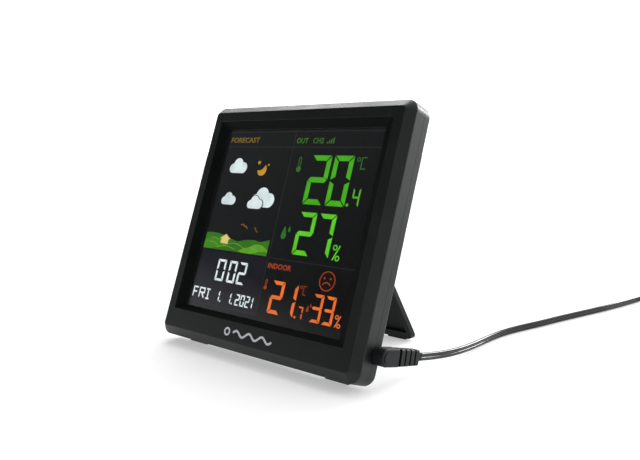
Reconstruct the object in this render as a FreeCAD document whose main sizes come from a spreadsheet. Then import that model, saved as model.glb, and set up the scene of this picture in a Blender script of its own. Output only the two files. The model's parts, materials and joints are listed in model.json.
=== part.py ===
"""Home weather station: a leaning colour-display console with its stand, keys, power lead and adapter.

The case is drawn in its own frame: x runs across the front, y runs from the front to the back and is 0 at
the rim where the bevel meets the side walls, and z runs up the case. Every piece of the case is then placed
by one Placement, which leans the case back and stands it on its feet. Sizes are in millimetres.
"""
import FreeCAD, Part
import math
import os
import re

from FreeCAD import Placement, Rotation, Vector

SIZES = [
    # the case
    ("case_width", 140.0, "case, side to side"),
    ("case_height", 133.7, "case, bottom to top, along its own slope"),
    ("wall_depth", 12.4, "rim of the bevel to the back edge of the side wall"),
    ("back_depth", 20.0, "rim to the back of the raised middle"),
    ("face_proud", 3.9, "front face stands this far in front of the rim"),
    ("bevel_width", 4.4, "bevel round the front face"),
    ("edge_round", 0.7, "rounding of both edges of the bevel"),
    ("band_width", 5.2, "flat band beside and above the screen"),
    ("chin_height", 10.2, "flat band below the screen"),
    ("slope_side", 5.4, "inner slope beside the screen"),
    ("slope_top", 4.2, "inner slope above the screen"),
    ("slope_bottom", 3.2, "inner slope below the screen"),
    ("slope_depth", 3.1, "face to the foot of the inner slope"),
    ("corner_radius", 6.0, "outline corners of the case"),
    ("wall", 2.0, "case wall thickness"),
    ("parting", 6.8, "rim to the joint between the two shells"),
    ("parting_gap", 0.15, "gap between the two shells"),
    ("back_edge_round", 1.6, "rounding of the back edge of the side wall"),
    ("raise_side", 10.0, "side wall to the raised middle"),
    ("raise_end", 6.0, "bottom or top wall to the raised middle"),
    ("raise_slope", 2.6, "the raised middle narrows by this much on each side"),
    ("lean_deg", 19.7, "the case leans back"),
    ("foot_gap", 0.5, "case edge above the table"),
    ("rim_forward", 45.24, "origin to the bottom of the rim, towards the front"),
    # the display
    ("tray_half", 59.6, "half width of the display tray"),
    ("tray_low", 12.6, "bottom of the display tray"),
    ("tray_high", 124.4, "top of the display tray"),
    ("tray_back", 7.9, "back of the display tray"),
    ("tray_wall", 1.5, "display tray wall"),
    ("pane_half", 57.7, "half width of the window and the sheets behind it"),
    ("pane_low", 14.5, "bottom of the window"),
    ("pane_high", 122.5, "top of the window"),
    # the board
    ("board_front", 8.4, "rim to the front of the circuit board"),
    ("board_back", 10.0, "rim to the back of the circuit board"),
    ("board_half", 50.0, "half width of the circuit board"),
    ("board_low", 14.0, "bottom of the circuit board"),
    ("board_high", 122.2, "top of the circuit board"),
    # the stand
    ("hinge_height", 102.5, "stand hinge, up the case"),
    ("hinge_depth", 18.0, "stand hinge, behind the rim"),
    ("stand_foot_half", 40.0, "half width of the stand at its foot"),
    ("stand_top_half", 20.0, "half width of the stand at its hinge"),
    ("stand_thick", 3.0, "stand plate"),
    ("stand_open_deg", 42.4, "the stand opens this far"),
    ("stand_below", 3.0, "stand plate drawn past the bottom of the case, then cut level with the table"),
    ("barrel_radius", 1.9, "stand hinge barrel"),
    ("pin_radius", 1.0, "stand hinge pin"),
    ("pin_play", 0.05, "clearance round the hinge pin"),
    ("pad_height", 0.8, "rubber pads under the stand"),
    # buttons
    ("snooze_half", 22.5, "half length of the snooze bar"),
    ("snooze_front", 3.5, "rim to the front of the snooze bar"),
    ("snooze_back", 9.3, "rim to the back of the snooze bar"),
    ("snooze_proud", 1.4, "snooze bar above the top of the case"),
    ("button_gap", 0.3, "gap round a button"),
    ("key_x", 46.0, "column of keys, from the middle"),
    ("key_low", 62.0, "lowest key, up the case"),
    ("key_pitch", 9.4, "key spacing"),
    ("key_wide", 9.0, "key, across"),
    ("key_tall", 5.6, "key, up"),
    ("key_proud", 0.9, "key stands out of the back"),
    # coin cell bay
    ("bay_x", -41.8, "middle of the coin cell bay"),
    ("bay_z", 80.0, "coin cell bay, up the case"),
    ("door_radius", 11.9, "coin cell door"),
    ("cell_radius", 10.0, "coin cell"),
    ("door_turn_deg", 30.0, "the door turns this far to unlock"),
    # power socket, plug and lead
    ("jack_depth", 8.8, "power socket, behind the rim"),
    ("jack_height", 14.8, "power socket, up the case"),
    ("plug_out", 6.35, "plug stands out of the side wall"),
    ("plug_tall", 8.4, "plug body height"),
    ("plug_dip_deg", 13.0, "plug points this far below level"),
    ("plug_block", 9.5, "plug axis to the first rib"),
    ("plug_reach", 27.2, "plug axis to the end of the strain relief"),
    ("lead_wide", 4.1, "twin lead, across both cores"),
    ("coil_x", 129.5, "middle of the coil, to the right"),
    ("coil_y", 312.0, "middle of the coil, behind the rim"),
    ("coil_inner", 14.6, "inside radius of the coil"),
    ("coil_outer", 26.0, "outside radius of the coil"),
    ("coil_rise", 0.7, "coil above the table, on its tie"),
    ("coil_tall", 8.4, "coil height"),
    # adapter
    ("adapter_x", 153.8, "middle of the adapter, to the right"),
    ("adapter_back", 276.0, "end of the adapter that the lead enters"),
    ("adapter_long", 62.0, "adapter, without its pins"),
    ("adapter_wide", 38.0, "adapter width"),
    ("adapter_tall", 21.2, "adapter height"),
    ("prong_radius", 2.0, "adapter pins"),
    ("prong_root", 1.5, "adapter pins, inside the adapter's nose"),
    ("prong_long", 19.0, "adapter pins"),
    ("prong_spacing", 19.0, "adapter pins, middle to middle"),
]
KEY_NAMES = ["light", "alarm", "channel", "down", "up", "set"]

CORD_ROUTE = [  # middle of the lead, from the plug to the coil, in the frame of the rim's foot on the table
    (73.35, 55.0, 6.5),
    (74.2, 73.0, 4.3),
    (73.2, 93.0, 2.7),
    (71.7, 112.0, 2.05),
    (72.0, 131.0, 2.05),
    (74.9, 148.0, 2.05),
    (79.4, 165.0, 2.05),
    (83.6, 186.0, 2.05),
    (89.6, 211.0, 2.05),
    (96.4, 240.0, 2.05),
    (101.2, 266.0, 2.05),
    (104.6, 290.0, 2.2),
]
TAIL_ROUTE = [  # middle of the lead, from the coil to the adapter
    (154.1, 305.5, 7.1),
    (154.0, 298.5, 8.9),
]
LEAD_FROM_COIL = (153.8, 312.0, 6.9)
LEAD_INTO_COIL = (105.3, 312.0, 2.8)
RELIEF_LONG = 16.0

doc = FreeCAD.newDocument("WeatherStation")
sheet = doc.addObject("Spreadsheet::Sheet", "Sizes")
for row, (alias, value, note) in enumerate(SIZES, start=1):
    sheet.set(f"A{row}", note)
    sheet.set(f"B{row}", str(value))
    sheet.setAlias(f"B{row}", alias)
doc.recompute()
ALIASES = {alias for alias, _, _ in SIZES}
nodes = []


# ---------------------------------------------------------------- sizes and expressions

def size(alias):
    """The value of one cell of the sheet."""
    return float(sheet.get(alias))


def sized(rule):
    """An expression in which each size's name points at its cell of the sheet."""
    return re.sub(r"[a-z_]+", lambda word: f"Sizes.{word[0]}" if word[0] in ALIASES else word[0], str(rule))


def bind(item, rules):
    for name, rule in rules.items():
        item.setExpression(name, sized(rule))


# ---------------------------------------------------------------- solids

def box(name, x, y, z):
    """A box between two limits along each axis."""
    item = doc.addObject("Part::Box", name)
    for axis, side, (low, high) in zip("xyz", ("Length", "Width", "Height"), (x, y, z)):
        bind(item, {f"Placement.Base.{axis}": low, side: f"({high}) - ({low})"})
    return item


def cylinder(name, axis, radius, centre, low, high):
    """A cylinder along x, y or z; centre gives its place along the other two axes, in order."""
    turns = {"x": Rotation(Vector(0, 1, 0), 90), "y": Rotation(Vector(1, 0, 0), -90), "z": Rotation()}
    item = doc.addObject("Part::Cylinder", name)
    item.Placement = Placement(Vector(), turns[axis])
    others = [letter for letter in "xyz" if letter != axis]
    bind(item, {
        "Radius": radius,
        "Height": f"({high}) - ({low})",
        f"Placement.Base.{axis}": low,
        f"Placement.Base.{others[0]}": centre[0],
        f"Placement.Base.{others[1]}": centre[1],
    })
    return item


def taper(name, y, x_front, z_front, x_back, z_back):
    """A block whose front and back rectangles differ."""
    item = doc.addObject("Part::Wedge", name)
    bind(item, {
        "Ymin": y[0], "Ymax": y[1],
        "Xmin": x_front[0], "Xmax": x_front[1], "Zmin": z_front[0], "Zmax": z_front[1],
        "X2min": x_back[0], "X2max": x_back[1], "Z2min": z_back[0], "Z2max": z_back[1],
    })
    return item


def upright_taper(name, z, half_low, half_high, y):
    """A plate in the plane of the case, wider at one end: half widths at its low and high ends."""
    item = doc.addObject("Part::Wedge", name)
    item.Placement = Placement(Vector(), Rotation(Vector(1, 0, 0), 90))
    bind(item, {
        "Ymin": z[0], "Ymax": z[1],
        "Xmin": f"-({half_low})", "Xmax": half_low, "X2min": f"-({half_high})", "X2max": half_high,
        "Zmin": f"-({y[1]})", "Zmax": f"-({y[0]})", "Z2min": f"-({y[1]})", "Z2max": f"-({y[0]})",
    })
    return item


def fuse(name, *parts):
    item = doc.addObject("Part::MultiFuse", name)
    item.Shapes = list(parts)
    return item


def cut(name, base, *tools):
    item = doc.addObject("Part::Cut", name)
    item.Base = base
    item.Tool = tools[0] if len(tools) == 1 else fuse(f"{name}_tools", *tools)
    return item


def group(name, *parts):
    item = doc.addObject("Part::Compound", name)
    item.Links = list(parts)
    return item


def direction(edge):
    return edge.tangentAt((edge.FirstParameter + edge.LastParameter) / 2)


def along(axis):
    """A test for straight edges that run mostly along one axis."""
    return lambda edge: edge.Curve.TypeId == "Part::GeomLine" and abs(getattr(direction(edge), axis)) > 0.9


def at_limit(axis, value, slack=0.02):
    """A test for edges that lie wholly at one value of one axis."""
    def test(edge):
        low = getattr(edge.BoundBox, f"{axis.upper()}Min")
        high = getattr(edge.BoundBox, f"{axis.upper()}Max")
        return abs(low - value) < slack and abs(high - value) < slack
    return test


def rounded(name, base, radius, test, kind="Part::Fillet", second=None):
    """Rounds, or with kind Part::Chamfer bevels, the edges of base that pass the test."""
    doc.recompute()
    item = doc.addObject(kind, name)
    item.Base = base
    chosen = [number for number, edge in enumerate(base.Shape.Edges, start=1) if test(edge)]
    item.Edges = [(number, radius, second or radius) for number in chosen]
    return item


def rounded_box(name, x, y, z, radius, axis="y"):
    return rounded(name, box(f"{name}_block", x, y, z), radius, along(axis))


def node(item, label, place=None):
    """Names a finished piece and puts it in its place."""
    if item.TypeId in ("Part::Box", "Part::Cylinder"):  # their own Placement holds their drawing limits
        item.Label = f"{label}_block"
        item = group(f"{label}_piece", item)
    item.Label = label
    item.Placement = place or case_place
    nodes.append(item)
    return item


# ---------------------------------------------------------------- frames

lean = math.radians(size("lean_deg"))
rim_height = size("wall_depth") * math.sin(lean) + size("foot_gap")
to_origin = Placement(Vector(0, -size("rim_forward"), 0), Rotation())
lean_back = Rotation(Vector(1, 0, 0), -size("lean_deg"))
case_place = to_origin.multiply(Placement(Vector(0, 0, rim_height), lean_back))
hinge_at = Vector(0, size("hinge_depth"), size("hinge_height"))
opened = Placement(hinge_at, Rotation()).multiply(
    Placement(Vector(), Rotation(Vector(1, 0, 0), size("stand_open_deg")))
).multiply(Placement(-hinge_at, Rotation()))
stand_place = case_place.multiply(opened)
jack_at = case_place.multVec(Vector(0, size("jack_depth"), size("jack_height")))
plug_place = Placement(jack_at, Rotation(Vector(1, 0, 0), -size("plug_dip_deg")))

# outlines that several pieces share
HALF = "case_width / 2"
RIDGE = "case_width / 2 - bevel_width - band_width"
RIDGE_LOW = "bevel_width + chin_height"
RIDGE_HIGH = "case_height - bevel_width - band_width"
OPEN_HALF = f"{RIDGE} - slope_side"
OPEN_LOW = f"{RIDGE_LOW} + slope_bottom"
OPEN_HIGH = f"{RIDGE_HIGH} - slope_top"
SLOPE_FOOT = "slope_depth - face_proud"
SEAT_BACK = -0.3
SCREW_X = 63.6
SCREW_LOW = 8.5
SCREW_HIGH = 125.2
INNER_ROUND = 4.0
ROOM_BEVEL_DEEP = 2.8
ROOM_BEVEL_WIDE = 3.2


def span(half):
    """Limits of something centred on the middle of the case."""
    return (f"-({half})", half)


def screw_places():
    return [(side * SCREW_X, height) for side in (-1, 1) for height in (SCREW_LOW, SCREW_HIGH)]


def snooze_opening(name):
    half = "snooze_half + button_gap"
    depth = ("snooze_front - button_gap", "snooze_back + button_gap")
    return box(name, span(half), depth, ("case_height - wall - 1", "case_height + 1"))


def socket_opening(name):
    return cylinder(name, "x", 2.3, ("jack_depth", "jack_height"), "case_width / 2 - wall - 1", f"{HALF} + 1")


# ---------------------------------------------------------------- front shell

def make_front_bezel():
    block = rounded_box("bezel_block", span(HALF), ("-face_proud", "parting"), (0, "case_height"),
                        size("corner_radius"))
    beveled = rounded("bezel_beveled", block, size("face_proud"), at_limit("y", -size("face_proud")),
                      kind="Part::Chamfer", second=size("bevel_width"))
    face_edge = rounded("bezel_face_edge", beveled, size("edge_round"), at_limit("y", -size("face_proud")))
    outside = rounded("bezel_outside", face_edge, size("edge_round"), at_limit("y", 0))
    square_room = rounded_box("bezel_square_room", span(f"{HALF} - wall"),
                              ("wall - face_proud", "parting + 1"), ("wall", "case_height - wall"),
                              INNER_ROUND)
    room_front = at_limit("y", size("wall") - size("face_proud"))
    room = rounded("bezel_room", square_room, ROOM_BEVEL_DEEP, room_front,
                   kind="Part::Chamfer", second=ROOM_BEVEL_WIDE)
    seat = box("window_seat", span("tray_half + 2.4"), ("wall - face_proud - 1", SEAT_BACK),
               ("tray_low - 2", "tray_high + 2"))
    hollow = cut("bezel_hollow", room, seat)
    opening = taper("bezel_opening", ("-face_proud - 0.01", SLOPE_FOOT), span(f"{RIDGE} + 0.02"),
                    (f"{RIDGE_LOW} - 0.02", f"{RIDGE_HIGH} + 0.02"), span(OPEN_HALF), (OPEN_LOW, OPEN_HIGH))
    throat = box("bezel_throat", span(OPEN_HALF), (f"{SLOPE_FOOT} - 0.01", "parting"), (OPEN_LOW, OPEN_HIGH))
    shell = cut("bezel_shell", outside, hollow, opening, throat,
                snooze_opening("bezel_snooze_opening"), socket_opening("bezel_socket_opening"))
    bosses = []
    for number, (x, z) in enumerate(screw_places()):
        boss = cylinder(f"bezel_boss_{number}", "y", 2.8, (x, z), "wall - face_proud - 0.5", "parting")
        bosses.append(cut(f"bezel_post_{number}", boss,
                          cylinder(f"bezel_pilot_{number}", "y", 1.15, (x, z), 0.5, "parting + 1")))
    node(fuse("front_bezel", shell, *bosses), "front_bezel")


# ---------------------------------------------------------------- display stack

def make_display():
    pane = span("pane_half")
    height = ("pane_low", "pane_high")
    node(box("display_window", pane, (-0.25, 0.95), height), "display_window")
    node(box("lcd_panel", pane, (1.05, 3.15), height), "lcd_panel")
    node(box("diffuser_sheet", pane, (3.25, 3.55), ("pane_low + 2.6", "pane_high - 4")), "diffuser_sheet")
    node(box("guide_block", pane, (3.65, 6.15), ("pane_low + 2.6", "pane_high - 4")), "light_guide")
    node(box("reflector_sheet", pane, (6.2, 6.35), ("pane_low + 2.6", "pane_high - 4")), "reflector_sheet")

    strip = box("led_board", span("pane_half - 2"), (3.5, 6.2), ("pane_low + 0.3", "pane_low + 1.1"))
    lamps = [box(f"led_{number}", (-42 + number * 14, -38.5 + number * 14), (4.0, 5.6),
                 ("pane_low + 1.1", "pane_low + 2.1")) for number in range(6)]
    node(fuse("led_strip", strip, *lamps), "led_strip")

    block = box("tray_block", span("tray_half"), (-0.15, "tray_back"), ("tray_low", "tray_high"))
    inside = box("tray_inside", span("tray_half - tray_wall"), (-1, "tray_back - 1.4"),
                 ("tray_low + tray_wall", "tray_high - tray_wall"))
    slot = box("tray_slot", span(38.5), (5, 9), ("pane_high - 3.4", "pane_high - 0.6"))
    holes = []
    spacers = []
    for number, (x, z) in enumerate(board_screw_places()):
        spacers.append(cylinder(f"tray_spacer_{number}", "y", 2.6, (x, z), "tray_back - 0.5",
                                "board_front - 0.05"))
        holes.append(cylinder(f"tray_hole_{number}", "y", 1.05, (x, z), "tray_back - 2", "board_front"))
    solid = fuse("tray_solid", cut("tray_open", block, inside), *spacers)
    node(cut("display_tray", solid, slot, *holes), "display_tray")
    node(box("zebra_strip", span(38), (3.25, "board_front - 0.05"), ("pane_high - 3.1", "pane_high - 0.9")),
         "zebra_strip")


# ---------------------------------------------------------------- circuit board and what it carries

def board_screw_places():
    return [(side * 44, height) for side in (-1, 1) for height in (20, 117)]


def key_height(number):
    return f"key_low + {number} * key_pitch"


def make_board():
    plate = box("board_plate", span("board_half"), ("board_front", "board_back"), ("board_low", "board_high"))
    head = box("board_head", span(10), ("board_front", "board_back"), ("board_high - 1", "board_high + 6"))
    tab = box("board_tab", (49, 59.7), ("board_front", "board_back"), ("board_low - 3.5", "board_low + 6"))
    holes = [cylinder(f"board_hole_{number}", "y", 1.1, (x, z), "board_front - 1", "board_back + 1")
             for number, (x, z) in enumerate(board_screw_places())]
    node(cut("main_board", fuse("board_solid", plate, head, tab), *holes), "main_board")

    node(box("controller_chip", (-24, -10), ("board_back", "board_back + 1.6"), (66, 80)), "controller_chip")
    cans = [cylinder(f"capacitor_{number}", "y", 2.5, (x, 34), "board_back", "board_back + 3.6")
            for number, x in enumerate((16, 23, 30))]
    node(group("board_capacitors", *cans), "board_capacitors")
    radio = box("radio_board", (-22, 4), ("board_back", "board_back + 1"), (42, 56))
    can = box("radio_can", (-18, -6), ("board_back + 1", "board_back + 3"), (44, 54))
    node(fuse("radio_module", radio, can), "radio_module")
    rod = cylinder("antenna_rod", "z", 0.6, (1.5, "board_back + 2"), 51, 96)
    foot = cylinder("antenna_foot", "y", 0.5, (1.5, 52.6), "board_back + 1", "board_back + 2")
    node(fuse("antenna", rod, foot), "antenna")
    can = cylinder("buzzer_can", "y", 6.5, (22, 50), "board_back", "board_back + 3.4")
    hole = cylinder("buzzer_hole", "y", 1, (22, 50), "board_back + 1", "board_back + 4")
    node(cut("buzzer", can, hole), "buzzer")
    pins = box("sensor_pins", (-49, -45), ("board_back", "board_back + 4.8"), (24, 26))
    carrier = box("sensor_carrier", (-49.5, -42), ("board_back + 4.8", "board_back + 5.6"), (22, 38))
    chip = box("sensor_chip", (-47.5, -44.5), ("board_back + 5.6", "board_back + 6.8"), (31, 34))
    node(fuse("climate_sensor", pins, carrier, chip), "climate_sensor")

    switches = []
    for number in range(len(KEY_NAMES)):
        middle = key_height(number)
        base = box(f"switch_base_{number}", ("key_x - 3", "key_x + 3"), ("board_back", "board_back + 3.6"),
                   (f"{middle} - 2.6", f"{middle} + 2.6"))
        stem = cylinder(f"switch_stem_{number}", "y", 1.6, ("key_x", middle), "board_back + 3.6",
                        "board_back + 5")
        switches.append(fuse(f"switch_{number}", base, stem))
    node(group("key_switches", *switches), "key_switches")
    low = "board_high + 3"
    base = box("snooze_switch_base", span(3), (4.2, "board_front"), (low, f"{low} + 2.4"))
    stem = box("snooze_switch_stem", span(1.2), (5, 7), (f"{low} + 2.4", f"{low} + 2.9"))
    node(fuse("snooze_switch", base, stem), "snooze_switch")

    body = box("jack_block", (59.9, f"{HALF} - wall - 0.1"), (6.3, 11.2),
               ("jack_height - 3.2", "jack_height + 3.2"))
    bore = cylinder("jack_bore", "x", 1.9, ("jack_depth", "jack_height"), 61, HALF)
    pin = cylinder("jack_pin", "x", 0.6, ("jack_depth", "jack_height"), 60.5, f"{HALF} - wall - 1")
    node(fuse("dc_jack", cut("jack_open", body, bore), pin), "dc_jack")


def make_screws():
    case_screws = []
    for number, (x, z) in enumerate(screw_places()):
        head = cylinder(f"case_screw_head_{number}", "y", 2.2, (x, z), "wall_depth - 1.6", "wall_depth - 0.4")
        shank = cylinder(f"case_screw_shank_{number}", "y", 1.1, (x, z), 1.0, "wall_depth - 1.6")
        slots = [box(f"case_screw_slot_{number}_{turn}", (x - wide, x + wide),
                     ("wall_depth - 1.1", "wall_depth"), (z - tall, z + tall))
                 for turn, (wide, tall) in enumerate(((1.4, 0.3), (0.3, 1.4)))]
        screw = fuse(f"case_screw_solid_{number}", head, shank)
        case_screws.append(cut(f"case_screw_{number}", screw, *slots))
    node(group("case_screws", *case_screws), "case_screws")
    board_screws = []
    for number, (x, z) in enumerate(board_screw_places()):
        head = cylinder(f"board_screw_head_{number}", "y", 1.9, (x, z), "board_back", "board_back + 1.2")
        shank = cylinder(f"board_screw_shank_{number}", "y", 1.0, (x, z), "tray_back - 1", "board_back")
        board_screws.append(fuse(f"board_screw_{number}", head, shank))
    node(group("board_screws", *board_screws), "board_screws")


# ---------------------------------------------------------------- rear shell

HINGE_HALF = "stand_top_half + 0.6"
POCKET_DEPTH = "hinge_depth - stand_thick / 2 - 0.3"


def stand_half_at(height, extra):
    """Half width of the stand's outline at a height up the case, with some room added."""
    slope = "(stand_foot_half - stand_top_half) / hinge_height"
    return f"stand_foot_half - ({height}) * {slope} + {extra}"


def make_rear_cover():
    pan = rounded_box("cover_pan", span(HALF), ("parting + parting_gap", "wall_depth"), (0, "case_height"),
                      size("corner_radius"))
    pan = rounded("cover_pan_round", pan, size("back_edge_round"), at_limit("y", size("wall_depth")))
    side = f"{HALF} - raise_side"
    low = "raise_end"
    high = "case_height - raise_end"
    raised = taper("cover_raised", ("wall_depth - 1", "back_depth"), span(side), (low, high),
                   span(f"{side} - raise_slope"), (f"{low} + raise_slope", f"{high} - raise_slope"))
    raised = rounded("cover_raised_corners", raised, 4.0, along("y"))
    raised = rounded("cover_raised_round", raised, 1.2, at_limit("y", size("back_depth")))
    room = rounded_box("cover_room", span(f"{HALF} - wall"), ("parting", "wall_depth - wall"),
                       ("wall", "case_height - wall"), INNER_ROUND)
    deep = taper("cover_deep_room", ("wall_depth - wall - 0.5", "back_depth - wall"), span(f"{side} - wall"),
                 (f"{low} + wall", f"{high} - wall"), span(f"{side} - raise_slope - wall"),
                 (f"{low} + raise_slope + wall", f"{high} - raise_slope - wall"))
    jack_room = box("cover_jack_room", (59.5, f"{HALF} - wall"), ("parting", "wall_depth - 1"),
                    ("jack_height - 3.5", "jack_height + 3.5"))
    shell = cut("cover_shell", fuse("cover_outside", pan, raised), room, deep, jack_room)

    floor = upright_taper("stand_pocket_wall", (f"{low} + 1.5", "hinge_height"),
                          stand_half_at(f"{low} + 1.5", 2.2), stand_half_at("hinge_height", 2.2),
                          ("hinge_depth - 3.4", "back_depth - wall + 0.5"))
    hinge_wall = box("hinge_pocket_wall", span(f"{HINGE_HALF} + 5"), (13.0, "back_depth - wall + 0.5"),
                     ("hinge_height - 5.5", "hinge_height + 6"))
    bay_wall = cylinder("bay_wall", "y", "door_radius + 2.4", ("bay_x", "bay_z"), 13.1,
                        "back_depth - wall + 0.5")
    posts = [cylinder(f"cover_post_{number}", "y", 2.8, (x, z), "parting + parting_gap", "wall_depth - 1.8")
             for number, (x, z) in enumerate(screw_places())]
    solid = fuse("cover_solid", shell, floor, hinge_wall, bay_wall, *posts)

    tools = [snooze_opening("cover_snooze_opening"), socket_opening("cover_socket_opening")]
    tools.append(upright_taper("stand_pocket", (-10, "hinge_height + 2"), stand_half_at(-10, 0.5),
                               stand_half_at("hinge_height + 2", 0.5), (POCKET_DEPTH, "back_depth + 5")))
    tools.append(box("hinge_pocket", span(HINGE_HALF), (14.6, "back_depth + 1"),
                     ("hinge_height - 3.6", "hinge_height + 4.1")))
    tools.append(cylinder("cover_pin_hole", "x", "pin_radius", ("hinge_depth", "hinge_height"),
                          f"-({HINGE_HALF} + 3)", f"{HINGE_HALF} + 3"))
    for number, (x, z) in enumerate(screw_places()):
        tools.append(cylinder(f"cover_screw_hole_{number}", "y", 1.25, (x, z), "parting - 1",
                              "wall_depth + 1"))
        tools.append(cylinder(f"cover_screw_seat_{number}", "y", 2.5, (x, z), "wall_depth - 1.6",
                              "wall_depth + 1"))
    for number in range(len(KEY_NAMES)):
        middle = key_height(number)
        tools.append(rounded_box(
            f"key_opening_{number}",
            ("key_x - key_wide / 2 - button_gap", "key_x + key_wide / 2 + button_gap"),
            ("back_depth - wall - 1", "back_depth + 1"),
            (f"{middle} - key_tall / 2 - button_gap", f"{middle} + key_tall / 2 + button_gap"), 1.5))
    for number in range(5):
        bottom = 20 + number * 4.4
        tools.append(box(f"vent_{number}", (-53.5, -41), ("back_depth - wall - 1", "back_depth + 1"),
                         (bottom, bottom + 1.5)))
    tools.append(cylinder("hanging_hole", "y", 4, (0, "hinge_height + 11"), "back_depth - wall - 1",
                          "back_depth + 1"))
    tools.append(box("hanging_slot", (-2, 2), ("back_depth - wall - 1", "back_depth + 1"),
                     ("hinge_height + 11", "hinge_height + 16.2")))
    tools.append(cylinder("hanging_slot_end", "y", 2, (0, "hinge_height + 16.2"), "back_depth - wall - 1",
                          "back_depth + 1"))
    bay = ("bay_x", "bay_z")
    tools.append(cylinder("door_seat", "y", "door_radius + 0.25", bay, "back_depth - 1.95", "back_depth + 1"))
    tools.append(cylinder("door_throat", "y", "door_radius - 0.3", bay, 16.3, "back_depth"))
    tools.append(cylinder("door_groove", "y", "door_radius + 1", bay, 16.3, 17.6))
    tools.append(cylinder("cell_bore", "y", "cell_radius + 0.4", bay, 14.2, 17))
    entry = box("door_entry", ("-door_radius - 0.8", "door_radius + 0.8"), (17, 18.2), (-3.4, 3.4))
    entry_turn = Rotation(Vector(0, 1, 0), size("door_turn_deg"))
    entry_place = Placement(Vector(size("bay_x"), 0, size("bay_z")), entry_turn)
    tools.append(cut("door_entries", entry, cylinder("door_entry_core", "y", 9, (0, 0), 16, 19)))
    tools[-1].Placement = entry_place
    node(cut("rear_cover", solid, *tools), "rear_cover")


def make_coin_cell_bay():
    bay = ("bay_x", "bay_z")
    disc = cylinder("door_disc", "y", "door_radius", bay, "back_depth - 1.9", "back_depth")
    disc = rounded("door_disc_round", disc, 0.4, at_limit("y", size("back_depth")))
    skirt = cut("door_skirt", cylinder("door_skirt_outside", "y", 11.3, bay, 16.5, "back_depth - 1.8"),
                cylinder("door_skirt_inside", "y", 10.5, bay, 16, "back_depth - 1.9"))
    lugs = [box(f"door_lug_{number}", (f"bay_x + {low}", f"bay_x + {high}"), (16.5, 17.4),
                ("bay_z - 3", "bay_z + 3"))
            for number, (low, high) in enumerate(((10.8, 12.3), (-12.3, -10.8)))]
    slot = rounded_box("door_slot", ("bay_x - 7", "bay_x + 7"), ("back_depth - 1.1", "back_depth + 1"),
                       ("bay_z - 1.1", "bay_z + 1.1"), 1.0)
    node(cut("battery_door", fuse("door_solid", disc, skirt, *lugs), slot), "battery_door")
    cell = cylinder("cell_can", "y", "cell_radius", bay, 14.6, 16.4)
    cap = cylinder("cell_cap", "y", "cell_radius - 0.9", bay, 16.4, 17.8)
    node(fuse("coin_cell", rounded("cell_can_round", cell, 0.3, at_limit("y", 14.6)),
              rounded("cell_cap_round", cap, 0.3, at_limit("y", 17.8))), "coin_cell")
    under = box("contact_under", ("bay_x - 2", "bay_x + 2"), (14.22, 14.5), ("bay_z - 8", "bay_z + 8"))
    beside = box("contact_beside", ("bay_x - 1", "bay_x + 1"), (14.22, 16.2),
                 ("bay_z - cell_radius - 0.33", "bay_z - cell_radius - 0.08"))
    node(group("cell_contacts", under, beside), "cell_contacts")


# ---------------------------------------------------------------- buttons

def make_buttons():
    cap = box("snooze_cap", span("snooze_half"), ("snooze_front", "snooze_back"),
              ("case_height - wall - 0.6", "case_height + snooze_proud"))
    cap = rounded("snooze_cap_ends", cap, 2.6, along("z"))
    cap = rounded("snooze_cap_round", cap, 0.7, at_limit("z", size("case_height") + size("snooze_proud")))
    flange = box("snooze_flange", span("snooze_half + 1.4"), ("snooze_front - 1", "snooze_back + 0.8"),
                 ("case_height - wall - 1.6", "case_height - wall - 0.3"))
    stem = box("snooze_stem", span(2), (5, 7.4), ("board_high + 7.1", "case_height - wall - 1"))
    node(fuse("snooze_button", cap, flange, stem), "snooze_button")
    for number, word in enumerate(KEY_NAMES):
        middle = key_height(number)
        cap = rounded_box(f"key_cap_{word}", ("key_x - key_wide / 2", "key_x + key_wide / 2"),
                          ("back_depth - wall - 0.4", "back_depth + key_proud"),
                          (f"{middle} - key_tall / 2", f"{middle} + key_tall / 2"), 1.2)
        cap = rounded(f"key_cap_round_{word}", cap, 0.4,
                      at_limit("y", size("back_depth") + size("key_proud")))
        flange = box(f"key_flange_{word}", ("key_x - key_wide / 2 - 0.8", "key_x + key_wide / 2 + 0.8"),
                     ("back_depth - wall - 1.2", "back_depth - wall - 0.2"),
                     (f"{middle} - key_tall / 2 - 0.8", f"{middle} + key_tall / 2 + 0.8"))
        stem = cylinder(f"key_stem_{word}", "y", 1.5, ("key_x", middle), "board_back + 6",
                        "back_depth - wall - 1")
        node(fuse(f"key_{word}", cap, flange, stem), f"key_{word}")


# ---------------------------------------------------------------- stand and feet

def table_slab(name, top, place):
    """A slab from below the table up to a height above it, drawn in the frame that place stands up."""
    slab = doc.addObject("Part::Box", name)
    slab.Length, slab.Width, slab.Height = 300, 300, 40
    slab.Placement = place.inverse().multiply(Placement(Vector(-150, -150, top - 40), Rotation()))
    return slab


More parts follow.
